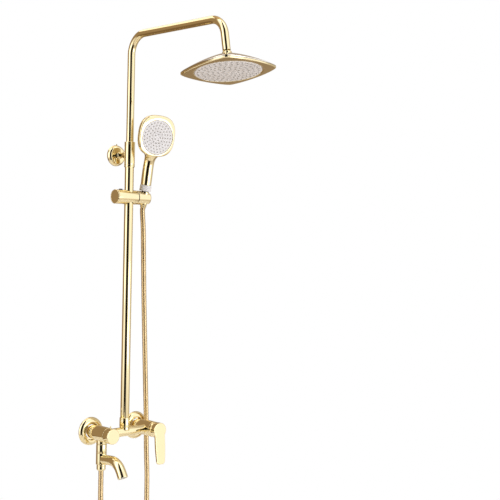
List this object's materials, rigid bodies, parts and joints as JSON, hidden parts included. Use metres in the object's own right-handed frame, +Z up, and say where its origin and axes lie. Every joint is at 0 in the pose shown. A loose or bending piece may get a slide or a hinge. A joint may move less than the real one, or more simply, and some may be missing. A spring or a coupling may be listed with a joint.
{
  "type": "rainfall shower column",
  "caption": "Wall-mounted gold shower column with bath mixer, swivel spout, riser, sliding hand shower holder and square overhead head.",
  "frame": {"origin": "on the finished wall face, midway between the centres of the two water inlets", "axes": "+X to the right when facing the wall, +Y into the wall, +Z up; the column stands out of the wall along -Y"},
  "size_m": [0.2256, 0.5733, 1.5004],
  "materials": {
    "gold": "polished gold coating on brass",
    "gold_plastic": "polished gold plating on moulded plastic",
    "hose_metal": "gold-coated double-wound steel strip",
    "white_plastic": "satin white moulded plastic",
    "brass": "turned, uncoated",
    "rubber": "moulded black",
    "dark_plastic": "moulded dark grey",
    "steel": "zinc-plated or stainless",
    "ceramic_plastic": "moulded pale grey"
  },
  "bodies": {
    "wall_mixer": {"wall_flange_left": "gold", "wall_flange_right": "gold", "inlet_union_left": "brass", "inlet_union_right": "brass", "union_nut_left": "gold", "union_nut_right": "gold", "inlet_washer_left": "rubber", "inlet_washer_right": "rubber", "mixer_body": "gold", "mixing_cartridge": "ceramic_plastic", "cartridge_nut": "brass", "cartridge_dome": "gold", "diverter_cartridge": "ceramic_plastic", "diverter_nut": "brass", "outlet_column": "gold", "spout_oring_upper": "rubber", "spout_oring_lower": "rubber", "hose_outlet_nut": "gold", "riser_nut": "gold", "riser_seal": "rubber", "lower_riser": "gold", "bracket_sleeve": "gold", "sleeve_oring": "rubber", "bracket_flange": "gold", "bracket_grub_screw": "gold", "bracket_post": "gold", "bracket_wall_plate": "steel", "wall_screw": "steel", "shower_hose": "hose_metal"},
    "lever_carrier": {"stem_carrier": "ceramic_plastic", "stem_pin": "steel"},
    "lever": {"cartridge_stem": "brass", "lever_handle": "gold", "lever_grub_screw": "steel"},
    "diverter": {"diverter_spindle": "brass", "diverter_knob": "gold"},
    "spout": {"spout_body": "gold", "spout_aerator": "ceramic_plastic"},
    "tube_guide": {"upper_tube_guide": "dark_plastic"},
    "arm": {"shower_arm": "gold", "arm_ball": "brass"},
    "ball_seat": {"ball_seat_ring": "white_plastic"},
    "head": {"head_top_shell": "gold_plastic", "head_face_frame": "gold_plastic", "head_nozzle_plate": "white_plastic", "head_water_box": "dark_plastic", "ball_nut": "gold"},
    "slider_bush": {"slider_bush": "dark_plastic"},
    "slider": {"slider_body": "gold_plastic", "slider_end_cap": "gold_plastic", "cradle_washer": "rubber", "cradle_pin": "steel"},
    "button": {"release_button": "dark_plastic"},
    "cradle": {"handset_cradle": "gold_plastic"},
    "handset": {"handset_shell": "gold_plastic", "handset_face_plate": "white_plastic", "handset_jet_disc": "dark_plastic", "handset_collar": "white_plastic", "handset_washer": "rubber", "hose_cone_nut": "gold"}
  },
  "joints": [
    {"name": "lever_turn", "type": "hinge", "parent": "wall_mixer", "child": "lever_carrier", "pos_m": [0.075, -0.088, 0], "axis": [0, 1, 0], "range_deg": [-45, 45]},
    {"name": "lever_lift", "type": "hinge", "parent": "lever_carrier", "child": "lever", "pos_m": [0.075, -0.088, 0], "axis": [-1, 0, 0], "range_deg": [0, 22]},
    {"name": "diverter_turn", "type": "hinge", "parent": "wall_mixer", "child": "diverter", "pos_m": [-0.075, -0.09, 0], "axis": [0, 1, 0], "range_deg": [-90, 90]},
    {"name": "spout_swing", "type": "hinge", "parent": "wall_mixer", "child": "spout", "pos_m": [-0.075, -0.0526, -0.065], "axis": [0, 0, 1], "range_deg": [-75, 75]},
    {"name": "arm_height", "type": "slide", "parent": "wall_mixer", "child": "tube_guide", "axis": [0, 0, 1], "range_m": [-0.06, 0.1]},
    {"name": "arm_swing", "type": "hinge", "parent": "tube_guide", "child": "arm", "pos_m": [-0.008, -0.063, 0.8], "axis": [0, 0, 1], "range_deg": [-70, 70]},
    {"name": "head_pitch", "type": "hinge", "parent": "arm", "child": "ball_seat", "pos_m": [-0.008, -0.4435, 0.96569], "axis": [1, 0, 0], "range_deg": [-12, 12]},
    {"name": "head_roll", "type": "hinge", "parent": "ball_seat", "child": "head", "pos_m": [-0.008, -0.4435, 0.96569], "axis": [0, 1, 0], "range_deg": [-12, 12]},
    {"name": "holder_slide", "type": "slide", "parent": "wall_mixer", "child": "slider_bush", "axis": [0, 0, 1], "range_m": [-0.2, 0.05], "deforming": ["shower_hose"]},
    {"name": "holder_swing", "type": "hinge", "parent": "slider_bush", "child": "slider", "pos_m": [-0.008, -0.063, 0.631], "axis": [0, 0, 1], "range_deg": [-25, 25], "deforming": ["shower_hose"]},
    {"name": "button_press", "type": "slide", "parent": "slider", "child": "button", "axis": [0, 0, -1], "range_m": [0, 0.0025], "stiffness_N_per_m": 300, "springref_m": -0.001},
    {"name": "cradle_tilt", "type": "hinge", "parent": "slider", "child": "cradle", "pos_m": [0.02, -0.063, 0.631], "axis": [1, 0, 0], "range_deg": [-4, 35], "deforming": ["shower_hose"]},
    {"name": "handset_lift", "type": "slide", "parent": "cradle", "child": "handset", "axis": [0, -0.1736, 0.9848], "range_m": [0, 0.07], "deforming": ["shower_hose"]}
  ]
}
